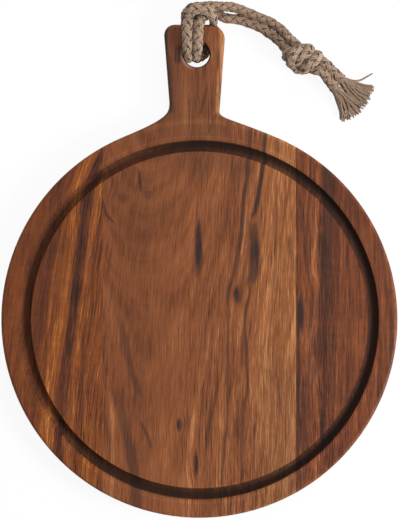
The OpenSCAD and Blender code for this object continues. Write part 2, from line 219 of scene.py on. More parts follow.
# Knot: rows of distance along its axis, turn about the axis in degrees, distance from
# the axis, size of each strand's solid, and twist of the pair of strands in degrees. The
# solids leave room between each other, which the plait fills.
KNOT_AT = np.array([0.0926, 0.2362, 0.0144])
KNOT_ANGLE = np.radians(-36)
KNOT_FULLER = 1.5
KNOT_WIDE = 1.20
KNOT_PRESSED = 0.08
KNOT_FREE_FROM = 0.008
KNOT_CLOSER = 0.13
KNOT_SHIFT = 0.0010
KNOT_SAG = 0.0004
KNOT_SLANT = 0.6
KNOT_SLANT_FROM = -0.009
KNOT_SLANT_OVER = 0.006
KNOT_HALF = np.array([
    [-0.021, 302, 0.0049, 0.0076, 32], [-0.0155, 292, 0.0038, 0.0062, 22],
    [-0.010, 280, 0.003, 0.005, 10], [-0.005, 270, 0.0028, 0.0047, 0],
    [-0.001, 270, 0.0028, 0.0047, 0], [0.0045, 270, 0.0039, 0.0048, 20],
    [0.009, 263, 0.0064, 0.005, 60], [0.0118, 240, 0.0087, 0.0054, 95],
    [0.0114, 205, 0.0098, 0.0058, 135], [0.0088, 165, 0.0101, 0.006, 170],
    [0.0064, 125, 0.0101, 0.006, 180], [0.0044, 80, 0.0101, 0.006, 180],
    [0.0022, 40, 0.0102, 0.006, 180], [0, 0, 0.0102, 0.006, 180]])


def curve(rows, steps):
    """Smooth curve through rows: between two rows b and c, with a before and d after,
    half of 2b + (c - a) t + (2a - 5b + 4c - d) t^2 + (3b - a - 3c + d) t^3."""
    q = np.concatenate([[2 * rows[0] - rows[1]], rows, [2 * rows[-1] - rows[-2]]])
    t = (np.arange(steps) / steps)[None, :, None]
    a, b, c, d = q[:-3, None], q[1:-2, None], q[2:-1, None], q[3:, None]
    spans = (2 * b + (c - a) * t + (2 * a - 5 * b + 4 * c - d) * t ** 2
             + (3 * b - a - 3 * c + d) * t ** 3) / 2
    return np.concatenate([spans.reshape(-1, rows.shape[1]), rows[-1:]])


def unit(v):
    """Vectors of the same directions with length one."""
    return v / np.maximum(np.linalg.norm(v, axis=-1, keepdims=True), 1e-12)


def knot_strands():
    """Both strands of the knot: the middle of the pair turns about the knot's axis, and
    each strand lies nearly half a size from it, turned by the pair's twist. Away from
    both mouths, where loose is 1, the turns are drawn in and moved by a hair, and lean
    along the axis by a share of how far they lie aside from it."""
    mirrored = KNOT_HALF[-2::-1] * [-1, -1, 1, 1, -1] + [0, 0, 0, 0, 360]
    rows = curve(np.concatenate([KNOT_HALF, mirrored]), 3)
    turn, twist = np.radians(rows[:, 1]), np.radians(rows[:, 4:5])
    radial = np.stack([0 * turn, np.cos(turn), np.sin(turn)], 1)
    loose = np.clip((np.abs(KNOT_HALF[0, 0]) - np.abs(rows[:, 0])) / KNOT_FREE_FROM, 0, 1)
    leaning = loose * np.clip((rows[:, 0] - KNOT_SLANT_FROM) / KNOT_SLANT_OVER, 0, 1)
    closer = 1 - KNOT_CLOSER * loose[:, None]
    middle = closer * (radial * rows[:, 2:3] + rows[:, :1] * [1, 0, 0])
    middle[:, 0] += KNOT_SHIFT * loose
    middle[:, 1] -= KNOT_SAG * loose
    middle[:, 0] += KNOT_SLANT * middle[:, 1] * leaning
    after, before = np.roll(middle, -1, 0), np.roll(middle, 1, 0)
    after[-1], before[0] = middle[-1], middle[0]
    along = unit(after - before)
    flat = unit(np.cross(along, radial))
    aside = flat * np.cos(twist) + np.cross(flat, along) * np.sin(twist)
    cosine, sine = np.cos(KNOT_ANGLE), np.sin(KNOT_ANGLE)
    to_room = np.array([[cosine, sine, 0], [-sine, cosine, 0], [0, 0, 1]])
    size = np.minimum(rows[:, 3:4] * KNOT_FULLER, ROPE_D)
    wide = ROPE_WIDE + (KNOT_WIDE - ROPE_WIDE) * loose[:, None]
    return [np.concatenate([
        (middle + which * aside * size * (wide - KNOT_PRESSED) / 2) @ to_room + KNOT_AT,
        size / ROPE_D, wide], 1) for which in (1, -1)]


strand_a, strand_b = knot_strands()
KNOT_THINNING = 3
ROPE_STEPS = 10
RING_STEP = 0.0006
SMOOTH_PASSES = 6

# From the lower end through knot, upper leg, hitch, lower leg and knot to the upper end
stretches = [END_LOWER[::-1], strand_a[::-KNOT_THINNING], LEG_UPPER[::-1], HITCH, LEG_LOWER,
             strand_b[::KNOT_THINNING], END_UPPER]
rope_rows = curve(np.concatenate(stretches), ROPE_STEPS)
spans = np.linalg.norm(np.diff(rope_rows[:, :3], axis=0), axis=1)
walked = np.concatenate([[0], np.cumsum(spans)])
counts = np.cumsum([len(rows) for rows in stretches])
joints_at = walked[(counts[:-1] - 1) * ROPE_STEPS + ROPE_STEPS // 2]
end_low_stop, knot_up_stop, leg_up_stop, hitch_stop, leg_low_stop, knot_low_stop = joints_at
rope_at = np.arange(0, walked[-1], RING_STEP)
rope_rows = np.stack([np.interp(rope_at, walked, column) for column in rope_rows.T], 1)


def smooth(rows, passes):
    """Rows averaged with their neighbours, one quarter, one half, one quarter."""
    for _ in range(passes):
        rows = np.concatenate([rows[:1], (rows[:-2] + 2 * rows[1:-1] + rows[2:]) / 4, rows[-1:]])
    return rows


# Each ring's middle and size, the way ahead, and two directions square to it
rope_rows = smooth(rope_rows, SMOOTH_PASSES)
rope_centre = rope_rows[:, :3]
rope_size = rope_rows[:, 3]
rope_ahead = unit(np.gradient(rope_centre, axis=0))


def carried(along):
    """A direction square to the path, carried from ring to ring without turning about it."""
    side = np.zeros_like(along)
    side[0] = unit(np.cross(along[0], [0, 0, 1]))
    for i in range(1, len(along)):
        v = side[i - 1] - along[i] * (side[i - 1] @ along[i])
        side[i] = v / np.sqrt(v @ v)
    return side


rope_aside = carried(rope_ahead)
rope_over = np.cross(rope_ahead, rope_aside)
# The wider the rope is pressed, the flatter it lies, by half as much
rope_wide = rope_rows[:, 4]
rope_flat = 1.5 - 0.5 * rope_wide

# The plait: strands that wind each way, length of one turn, the radius that they wind at
# and how far they swell and sink from it, and then the section of one strand
EACH_WAY = 4
PITCH = 0.040
CORE_R = 0.0030
WEAVE = 0.00050
STRAND_HALF_W = 0.00205
STRAND_HALF_T = 0.00102
STRAND_BLUNT = 0.75
YARNS = 3
YARN_DEPTH = 0.34
STRAND_SIDES = 24
# Rope that one unit of the UV map's v covers, and how far its fibres stay off the table
V_STEP = 0.01
OFF_TABLE = 0.0002


def new_mesh(name, points, faces, uv):
    """An object from arrays of points and smooth faces, with one UV pair a corner."""
    mesh = bpy.data.meshes.new(name)
    mesh.vertices.add(len(points))
    mesh.vertices.foreach_set("co", np.ascontiguousarray(points, np.float32).ravel())
    sides = faces.shape[1]
    mesh.loops.add(faces.size)
    mesh.loops.foreach_set("vertex_index", np.ascontiguousarray(faces, np.int32).ravel())
    mesh.polygons.add(len(faces))
    mesh.polygons.foreach_set("loop_start", np.arange(0, faces.size, sides, dtype=np.int32))
    mesh.polygons.foreach_set("use_smooth", np.full(len(faces), True))
    layer = mesh.uv_layers.new(name="UVMap")
    layer.data.foreach_set("uv", np.ascontiguousarray(uv, np.float32).ravel())
    mesh.update(calc_edges=True)
    mesh.validate()
    piece = bpy.data.objects.new(name, mesh)
    bpy.context.collection.objects.link(piece)
    return piece


def tubes(name, rings, uv_across, uv_along):
    """Closed tubes from rings, an array of tube, ring, side and x y z. Each end closes in
    a point at its ring's middle. Across a tube the UV map counts from uv_across plus the
    tube's number to one more, and along it uv_along gives a number a ring."""
    count, length, sides, _ = rings.shape
    caps = np.stack([rings[:, 0].mean(1), rings[:, -1].mean(1)], 1)
    points = np.concatenate([rings.reshape(-1, 3), caps.reshape(-1, 3)])
    tube, ring, side = np.meshgrid(
        np.arange(count), np.arange(length - 1), np.arange(sides), indexing="ij")
    after = (side + 1) % sides
    first, second = (tube * length + ring) * sides, (tube * length + ring + 1) * sides
    walls = np.stack([first + side, first + after, second + after, second + side], -1)
    u0, u1 = tube + side / sides, tube + (side + 1) / sides
    v0, v1 = uv_along[ring], uv_along[ring + 1]
    wall_uv = np.stack([np.stack([u0, u1, u1, u0], -1), np.stack([v0, v0, v1, v1], -1)], -1)
    cap_tube, cap_side = np.meshgrid(np.arange(count), np.arange(sides), indexing="ij")
    cap_after = (cap_side + 1) % sides
    start, stop = cap_tube * length * sides, ((cap_tube + 1) * length - 1) * sides
    middle = count * length * sides + 2 * cap_tube
    lids = np.concatenate([
        np.stack([start + cap_after, start + cap_side, middle, middle], -1).reshape(-1, 4),
        np.stack([stop + cap_side, stop + cap_after, middle + 1, middle + 1], -1).reshape(-1, 4)])
    wall_faces = walls.reshape(-1, 4)
    triangles = np.concatenate([wall_faces[:, [0, 1, 2]], wall_faces[:, [0, 2, 3]], lids[:, :3]])
    flat_uv = wall_uv.reshape(-1, 4, 2)
    lid_uv = np.zeros((len(lids), 3, 2))
    uv = np.concatenate([flat_uv[:, [0, 1, 2]], flat_uv[:, [0, 2, 3]], lid_uv])
    uv[..., 0] += uv_across
    return new_mesh(name, points, triangles, uv)


def plait(name, start, stop):
    """The plait between two places along the rope. Four strands wind each way at a radius
    that swells and sinks once for every crossing, so each goes over one and under one.
    A strand's section is a flat oval with a furrow between its yarns, and where the rope
    is pressed the whole plait is stretched sideways and flattened."""
    rows = slice(*np.searchsorted(rope_at, [start, stop + RING_STEP]))
    s, size = rope_at[rows], rope_size[rows]
    way = np.repeat([1.0, -1.0], EACH_WAY)[:, None]
    begin = np.tile(np.arange(EACH_WAY), 2)[:, None] * 2 * np.pi / EACH_WAY
    turn = way * 2 * np.pi * s / PITCH + begin
    radius = (CORE_R + way * WEAVE * np.cos(2 * EACH_WAY * np.pi * s / PITCH)) * size
    e, f = rope_aside[rows], rope_over[rows]
    radial = np.cos(turn)[..., None] * e + np.sin(turn)[..., None] * f
    middle = rope_centre[rows] + radius[..., None] * radial
    along = unit(np.gradient(middle, axis=1))
    out = unit(radial - along * np.sum(radial * along, -1, keepdims=True))
    aside = np.cross(out, along)
    phi = 2 * np.pi * np.arange(STRAND_SIDES) / STRAND_SIDES
    across = np.cos(phi)
    yarn = 1 + YARN_DEPTH * (np.cos(YARNS * np.pi * across) - 1) * np.abs(np.sin(phi)) / 2
    lift = np.sign(np.sin(phi)) * np.abs(np.sin(phi)) ** STRAND_BLUNT * yarn
    points = middle[:, :, None] + size[None, :, None, None] * (
        STRAND_HALF_W * across[None, None, :, None] * aside[:, :, None]
        + STRAND_HALF_T * lift[None, None, :, None] * out[:, :, None])
    centre = rope_centre[rows][None, :, None]
    offset = points - centre
    along_rope = rope_ahead[rows][None, :, None]
    run = np.sum(offset * along_rope, -1, keepdims=True) * along_rope
    spread = offset - run
    spread *= np.stack([rope_wide[rows], rope_wide[rows], rope_flat[rows]], -1)[None, :, None]
    points = centre + run + spread
    points[..., 2] = np.maximum(points[..., 2], OFF_TABLE)
    return tubes(name, points[:, :, ::-1], 0.0, s / V_STEP)


# Dull jute: light and dark yarns lie side by side, each with fine fibres that twist about
# it. The gaps between strands and yarns are painted dark as painted shade, and hard bends
# are painted lighter as a painted highlight.
class Field:
    """A number at every point of a surface, put together from Math nodes."""

    def __init__(self, tree, socket):
        self.tree = tree
        self.socket = socket

    def join(self, operation, *others):
        """This field and the others, each a field or a number, through one Math node."""
        node = self.tree.nodes.new("ShaderNodeMath")
        node.operation = operation
        for slot, value in enumerate((self, *others)):
            if isinstance(value, Field):
                self.tree.links.new(value.socket, node.inputs[slot])
            else:
                node.inputs[slot].default_value = value
        return Field(self.tree, node.outputs[0])

    def __add__(self, other):
        return self.join("ADD", other)

    def __sub__(self, other):
        return self.join("SUBTRACT", other)

    def __mul__(self, other):
        return self.join("MULTIPLY", other)

    def most(self, other):
        """The larger of the two at every point."""
        return self.join("MAXIMUM", other)

    def ramp(self, low, high):
        """0 at low and 1 at high, smooth between them and level outside."""
        node = self.tree.nodes.new("ShaderNodeMapRange")
        node.interpolation_type = "SMOOTHSTEP"
        self.tree.links.new(self.socket, node.inputs["Value"])
        node.inputs["From Min"].default_value = low
        node.inputs["From Max"].default_value = high
        return Field(self.tree, node.outputs["Result"])

    def hill(self, half):
        """1 at zero, falling to 0 at plus and minus half, round at both."""
        return self.join("ABSOLUTE").ramp(half, 0.0)

    def through(self, points):
        """The smooth curve through given points, pairs of this number and the result."""
        given, wanted = np.array(points, float).T
        low, room = wanted.min(), max(np.ptp(wanted), 1e-6)
        node = self.tree.nodes.new("ShaderNodeFloatCurve")
        line = node.mapping.curves[0].points
        shares = zip((given - given[0]) / np.ptp(given), (wanted - low) / room)
        for place, share in enumerate(shares):
            if place < 2:
                line[place].location = share
            else:
                line.new(*share)
        node.mapping.update()
        scaled = (self - given[0]) * (1 / np.ptp(given))
        self.tree.links.new(scaled.socket, node.inputs["Value"])
        return Field(self.tree, node.outputs[0]) * room + low


def noise(x, y, z, detail=2.0, roughness=0.5):
    """Smooth noise of about -1 to 1 at the point that three fields or numbers give."""
    tree = x.tree
    point = tree.nodes.new("ShaderNodeCombineXYZ")
    for slot, value in enumerate((x, y, z)):
        if isinstance(value, Field):
            tree.links.new(value.socket, point.inputs[slot])
        else:
            point.inputs[slot].default_value = value
    cloud = tree.nodes.new("ShaderNodeTexNoise")
    cloud.inputs["Scale"].default_value = 1.0
    cloud.inputs["Detail"].default_value = detail
    cloud.inputs["Roughness"].default_value = roughness
    tree.links.new(point.outputs[0], cloud.inputs["Vector"])
    return (Field(tree, cloud.outputs["Fac"]) - 0.5) * 2.8


def blend_colours(tree, share, first, second):
    """First colour where share is 0, second where it is 1. A colour is a socket or rgba."""
    node = tree.nodes.new("ShaderNodeMix")
    node.data_type = "RGBA"
    tree.links.new(share.socket, node.inputs["Factor"])
    for name, colour in (("A", first), ("B", second)):
        socket = next(s for s in node.inputs if s.name == name and s.type == "RGBA")
        if isinstance(colour, tuple):
            socket.default_value = colour
        else:
            tree.links.new(colour, socket)
    return next(s for s in node.outputs if s.type == "RGBA")


def colour_ramp(tree, tone, stops):
    """Colours from dark to light, spread evenly over tones 0 to 1."""
    ramp = tree.nodes.new("ShaderNodeValToRGB")
    ramp.color_ramp.interpolation = "CARDINAL"
    for place in range(1, len(stops) - 1):
        ramp.color_ramp.elements.new(place / (len(stops) - 1))
    for element, colour in zip(ramp.color_ramp.elements, stops):
        element.color = linear(*colour)
    tree.links.new(tone.socket, ramp.inputs[0])
    return ramp.outputs[0]


JUTE_TONES = ((82, 62, 48), (136, 110, 90), (164, 138, 116), (204, 182, 158))
# painted shade: the colour that the gaps between strands and yarns are darkened towards
JUTE_GAP_SHADE = linear(58, 40, 28)
COMBED_LEVEL = 0.92
# painted highlight: how much lighter the rope is painted where it is bent hard, and how much of each
# bend it fades over
BENT_HIGHLIGHT = 0.17
BENT_FADE = 0.25
bent_places = [(0, 0)]
for bend_start, bend_stop in ((end_low_stop, knot_up_stop), (leg_up_stop, hitch_stop),
                              (leg_low_stop, knot_low_stop)):
    fade = (bend_stop - bend_start) * BENT_FADE / 2
    bent_places += [(bend_start - fade, 0), (bend_start + fade, BENT_HIGHLIGHT),
                    (bend_stop - fade, BENT_HIGHLIGHT), (bend_stop + fade, 0)]
bent_places.append((rope_at[-1] + V_STEP, 0))


def jute(name, plaited, level=1.0):
    """A matt brown-grey fibre, coloured by noise stretched along each strand's UV map. On
    a plaited strand the gaps beside it and between its yarns are painted darker, as painted
    shade: across it lies the cosine of the turn round it, 1 at both edges, and a yarn is a
    third of its width. Where the rope is bent hard, its colour is painted lighter, a painted
    highlight for strands that are spread and catch more light. Level makes all its colours
    lighter or darker."""
    finish = bpy.data.materials.new(name)
    finish.use_nodes = True
    tree = finish.node_tree
    shader = tree.nodes["Principled BSDF"]
    shader.inputs["Roughness"].default_value = 0.92
    shader.inputs["Specular IOR Level"].default_value = 0.12
    shader.inputs["Sheen Weight"].default_value = 0.12
    shader.inputs["Sheen Roughness"].default_value = 0.6
    place = tree.nodes.new("ShaderNodeUVMap")
    place.uv_map = "UVMap"
    parts = tree.nodes.new("ShaderNodeSeparateXYZ")
    tree.links.new(place.outputs[0], parts.inputs[0])
    u, v = Field(tree, parts.outputs[0]), Field(tree, parts.outputs[1])
    fine = noise(u * 36 + v * 14, v * 5.0, 0.0, 3.0)
    broad = noise(u * 4.0, v * 0.9, 5.0, 2.0)
    tone = fine * 0.26 + broad * 0.16 + 0.5
    if plaited:
        # painted highlight: the tone is lifted where the rope is bent hard
        tone = tone + (v * V_STEP).through(bent_places)
    colour = colour_ramp(tree, tone, np.array(JUTE_TONES) * level)
    if plaited:
        # painted shade: the gaps beside a strand and between its yarns are darkened in colour
        across = (u * (2 * np.pi)).join("COSINE")
        beside = across.join("ABSOLUTE").ramp(0.72, 1.0)
        between = (across * (YARNS * np.pi)).join("COSINE").ramp(-0.2, -1.0)
        gap_shade = (beside * 0.85).most(between * 0.60)
        colour = blend_colours(tree, gap_shade, colour, JUTE_GAP_SHADE)
    tree.links.new(colour, shader.inputs["Base Color"])
    bump = tree.nodes.new("ShaderNodeBump")
    bump.inputs["Strength"].default_value = 0.7
    bump.inputs["Distance"].default_value = 0.0003
    tree.links.new(fine.socket, bump.inputs["Height"])
    tree.links.new(bump.outputs[0], shader.inputs["Normal"])
    return finish


plaited_jute = jute("jute_plaited", True)
combed_jute = jute("jute_combed", False, COMBED_LEVEL)


def dress(piece, finish):
    """Gives a rope piece its finish."""
    piece.data.materials.append(finish)


# Hitch: the middle of the rope, pushed through the hole as a loop, laid over the handle's
# end and drawn tight on both legs. It stays with the board when the free rope swings.
hitch = plait("rope_hitch_plait", leg_up_stop, hitch_stop)
dress(hitch, plaited_jute)
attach(hitch, "board")
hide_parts("rope_hitch")


# Knot: both halves of the rope, tied together in one doubled overhand knot. It is pulled
# tight, so its turns touch and the plait is pressed wide where they cross.
knot_upper = plait("rope_knot_upper_plait", end_low_stop, knot_up_stop)
knot_lower = plait("rope_knot_lower_plait", leg_low_stop, knot_low_stop)
for piece, node in ((knot_upper, "rope_knot_upper"), (knot_lower, "rope_knot_lower")):
    dress(piece, plaited_jute)
    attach(piece, "rope_tail")
    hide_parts(node)


# Ends: the plait goes on a little past the knot, and there each strand falls apart into
# its yarns, which fan out flat on the table and end at slightly different lengths. One
# yarn has come loose at the side.
rng = np.random.default_rng(11)
BRAIDED_END = 0.017

# The fan: its yarns, its size, how it leans and opens, its tips, and how yarns wander
BRUSH_OVERLAP = 0.002
BRUSH_YARNS = 56
BRUSH_HALF_W = 0.0134
BRUSH_HALF_H = 0.0022
BRUSH_LEAN = 0.0022
BRUSH_EASE = 1.05
BRUSH_LOWEST = 0.0008
TIP_SPREAD = (-0.06, 0.04)
TIP_ARC = 0.15
WANDER = 0.0006
WANDER_TURNS = (5, 11)
WANDER_FROM = (0, 6.3)

# One yarn's section, and how its own UV map is placed and stretched
YARN_RINGS = 26
YARN_SIDES = 6
YARN_R = 0.00076
STRAY_R = 0.0009
YARN_TWIST = 30
NEARLY_UP = (0.02, 0.03, 1.0)
YARN_OVAL = 0.16
TIP_THINNING = 0.35
YARN_U = 100.0
YARN_V = 4.0


def yarn_tubes(name, points, radius):
    """Round yarns along points, an array of yarn, ring and x y z. Two plies twist about
    each yarn, so its section is a little longer than wide and turns, and its tip thins."""
    t = np.linspace(0, 1, points.shape[1])
    along = unit(np.gradient(points, axis=1))
    aside = unit(np.cross(along, NEARLY_UP))
    out = np.cross(aside, along)
    phi = 2 * np.pi * np.arange(YARN_SIDES) / YARN_SIDES
    oval = 1 + YARN_OVAL * np.cos(2 * (phi[None, :] - YARN_TWIST * t[:, None]))
    thin = radius * (1 - TIP_THINNING * t ** 6)[:, None] * oval
    rings = points[:, :, None] + thin[None, ..., None] * (
        np.cos(phi)[None, None, :, None] * aside[:, :, None]
        + np.sin(phi)[None, None, :, None] * out[:, :, None])
    rings[..., 2] = np.maximum(rings[..., 2], OFF_TABLE)
    return tubes(name, rings, YARN_U, t * YARN_V)


def brush(name, centre_rows, lean):
    """Yarns from the plait's end to the fan's edge. Each eases from a place in the rope's
    round section to its own place across the fan, and wanders a little on its way. The
    tips lie on an arc, so the yarns in the fan's middle reach furthest, and the fan leans
    aside by lean at its edge."""
    t = np.linspace(0, 1, YARN_RINGS)
    centre = curve(centre_rows, 12)
    steps = np.linalg.norm(np.diff(centre, axis=0), axis=1)
    at = np.concatenate([[0], np.cumsum(steps)]) / steps.sum()
    fan = np.sort(rng.uniform(-1, 1, BRUSH_YARNS))
    reach = 1 + rng.uniform(*TIP_SPREAD, BRUSH_YARNS) + TIP_ARC * (1 - fan ** 2)
    places = t[None, :] * reach[:, None]
    middle = np.stack([np.interp(np.minimum(places, 1), at, c) for c in centre.T], -1)
    forward = unit(centre[-1] - centre[-4])
    middle = middle + np.maximum(places - 1, 0)[..., None] * steps.sum() * forward
    across = unit(np.cross([0, 0, 1], centre[-1] - centre[0]))
    turn = rng.uniform(0, 2 * np.pi, BRUSH_YARNS)[:, None]
    inner = np.sqrt(rng.uniform(0, 1, BRUSH_YARNS))[:, None] * ROPE_D / 2
    height = rng.uniform(-BRUSH_HALF_H, BRUSH_HALF_H, BRUSH_YARNS)[:, None]
    ease = places ** BRUSH_EASE
    fan_side = fan[:, None] * BRUSH_HALF_W + lean
    side = inner * np.cos(turn) * (1 - ease) + fan_side * ease
    up = inner * np.sin(turn) * (1 - ease) + height * ease
    waves = np.sin(places * rng.uniform(*WANDER_TURNS, (BRUSH_YARNS, 1))
                   + rng.uniform(*WANDER_FROM, (BRUSH_YARNS, 1)))
    side = side + WANDER * waves * places
    points = middle + side[..., None] * across + up[..., None] * np.array([0, 0, 1])
    points[..., 2] = np.maximum(points[..., 2], BRUSH_LOWEST)
    return yarn_tubes(name, points, YARN_R)


def rope_line(start, stop, every):
    """The rope's middle line between two places along it, one ring in so many, and from
    the far end back where every is negative."""
    rows = slice(*np.searchsorted(rope_at, [start, stop]))
    return rope_centre[rows][::every]


LINE_EVERY = 6
plait_low_start, plait_up_stop = end_low_stop - BRAIDED_END, knot_low_stop + BRAIDED_END
lower_line = rope_line(0, plait_low_start + BRUSH_OVERLAP, -LINE_EVERY)
upper_line = rope_line(plait_up_stop - BRUSH_OVERLAP, rope_at[-1], LINE_EVERY)
stub_lower = plait("rope_end_lower_plait", plait_low_start, end_low_stop)
stub_upper = plait("rope_end_upper_plait", knot_low_stop, plait_up_stop)
brush_lower = brush("rope_end_lower_brush", lower_line, BRUSH_LEAN)
brush_upper = brush("rope_end_upper_brush", upper_line, -BRUSH_LEAN)
STRAY = np.array([
    [0.127, 0.2190, 0.0115], [0.134, 0.2162, 0.009], [0.140, 0.2150, 0.0065],
    [0.1455, 0.2160, 0.004], [0.1505, 0.2187, 0.0025], [0.1565, 0.2222, 0.0016]])
stray = yarn_tubes("rope_stray_yarn", curve(STRAY, 6)[None], STRAY_R)
for piece, finish in ((stub_lower, plaited_jute), (stub_upper, plaited_jute),
                      (brush_lower, combed_jute), (brush_upper, combed_jute),
                      (stray, combed_jute)):
    dress(piece, finish)
    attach(piece, "rope_tail")
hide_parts("rope_end_upper")
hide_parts("rope_end_lower")


# Legs: the two free stretches between hitch and knot. They are limp.
PATH_EVERY = 8
leg_upper = plait("rope_leg_upper_plait", knot_up_stop, leg_up_stop)
leg_lower = plait("rope_leg_lower_plait", hitch_stop, leg_low_stop)


def leg_path(start, stop):
    """A leg's middle line, from the hitch outwards, and its length."""
    path = rope_line(start, stop, PATH_EVERY)
    if path[0, 0] > path[-1, 0]:
        path = path[::-1]
    return path, float(np.linalg.norm(np.diff(path, axis=0), axis=1).sum())


for piece, node in ((leg_upper, "rope_leg_upper"), (leg_lower, "rope_leg_lower")):
    dress(piece, plaited_jute)
    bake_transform(piece)
    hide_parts(node)

path_upper, length_upper = leg_path(knot_up_stop, leg_up_stop)
path_lower, length_lower = leg_path(hitch_stop, leg_low_stop)


# Wood: three staves of acacia heartwood, planed, sanded and oiled. A stave's figure is
# worked out at every point from its own x, y and z in millimetres, so it runs on through
# the groove, over the edges and out at the back.
MM = 0.001
PLATE_R = 177.5
# painted highlights lie on the plate's outer edge and along the arris outside the groove
RIM_HIGHLIGHT_W = 4.0
GROOVE_IN, GROOVE_OUT = 148.0, 163.5
ARRIS_R, ARRIS_W = 164.1, 1.3
HOLE_X, HOLE_Y, HOLE_R = -2.4, 237.8, 11.5
HOLE_HIGHLIGHT_W = 1.9
TOP_Z = BOARD_TOP / MM

VEIN_INK = linear(46, 32, 29)
PORE_BROWN = linear(62, 31, 20)
# painted shade colour for the groove
GROOVE_SHADE = linear(20, 10, 6)
# painted highlight colour for the left of the hole's mouth
HOLE_HIGHLIGHT = linear(158, 122, 104)
# painted shade colour for the hole's wall
HOLE_SHADE = linear(26, 15, 11)

# How fast a knot's pull on the grain falls off, per half width and half length squared
SWERVE_FALL_W, SWERVE_FALL_L = 0.05, 0.30


def knots(x, y, places):
    """Small dark knots and how far the grain swerves round them, at most by half of its
    distance from the knot. Each place is a knot's x and y, its half width and half
    length, and how dark it is."""
    dark, swerve = None, None
    for knot_x, knot_y, half_w, half_l, depth in places:
        dx = (x - knot_x) * (1 / half_w)
        dy = (y - knot_y) * (1 / half_l)
        away = (dx * dx + dy * dy).join("SQRT")
        far = (dx * dx * SWERVE_FALL_W + dy * dy * SWERVE_FALL_L).join("SQRT")
        aside = (x - knot_x) * far.hill(1.0) * (0.5 * depth)
        spot = away.ramp(1.15, 0.35) * depth
        dark = spot if dark is None else dark.most(spot)
        swerve = aside if swerve is None else swerve + aside
    return dark, swerve


def veins(across, y, lines):
    """Narrow lines along the grain, which are dark minerals or pale streaks. Each line has
    a half width and its points, given as y, x and how strong the line is there."""
    dark = None
    for half_w, points in lines:
        rows = np.array(points, float)
        near = (across - y.through(rows[:, [0, 1]])).hill(half_w).ramp(0.05, 0.80)
        line = near * y.through(rows[:, [0, 2]])
        dark = line if dark is None else dark.most(line)
    return dark


def edge_highlights(radius, under):
    """How much paler the wood is painted on two rounded edges, as a painted highlight: the
    plate's outer edge, and the arris outside the groove."""
    outer = (radius - PLATE_R).hill(RIM_HIGHLIGHT_W) * under.ramp(-6.0, -0.5)
    arris = (radius - ARRIS_R).hill(ARRIS_W) * under.ramp(-1.2, -0.1)
    return outer * 0.10 + arris * 0.08


def groove_painted_shade(x, y, radius, under):
    """1 in the groove's ring wherever the wood lies deeper than its edge, which takes in
    the underside too, and how dark that ring is painted as painted shade. The painted shade
    is darker on its outer half, where the outer wall faces away from the key lamp on the
    right and a little down, and it pales towards the left and a little up."""
    across = (radius - (GROOVE_IN + GROOVE_OUT) / 2).hill((GROOVE_OUT - GROOVE_IN) / 2)
    trench = under.ramp(-0.4, -3.0) * across.ramp(0.0, 0.25)
    outer_half = radius.ramp(GROOVE_IN + 1.5, GROOVE_OUT - 6.5) * 0.29 + 0.02
    lampward = x * 0.966 - y * 0.259
    painted_shade = lampward.ramp(-112.0, -42.0) * outer_half + lampward.ramp(-150.0, -60.0) * 0.17 + 0.45
    return trench, trench * painted_shade


def hole_edge(x, y):
    """Where the hole's mouth is painted pale as a painted highlight, which is on its left,
    where its rounding faces the lamp, and where its wall is painted dark as painted shade."""
    dx, dy = x - HOLE_X, y - HOLE_Y
    away = (dx * dx + dy * dy).join("SQRT")
    pale = (away - (HOLE_R + HOLE_HIGHLIGHT_W)).hill(HOLE_HIGHLIGHT_W) * dx.ramp(-1.0, -9.0)
    return pale, away.ramp(HOLE_R + 1.3, HOLE_R + 0.3)


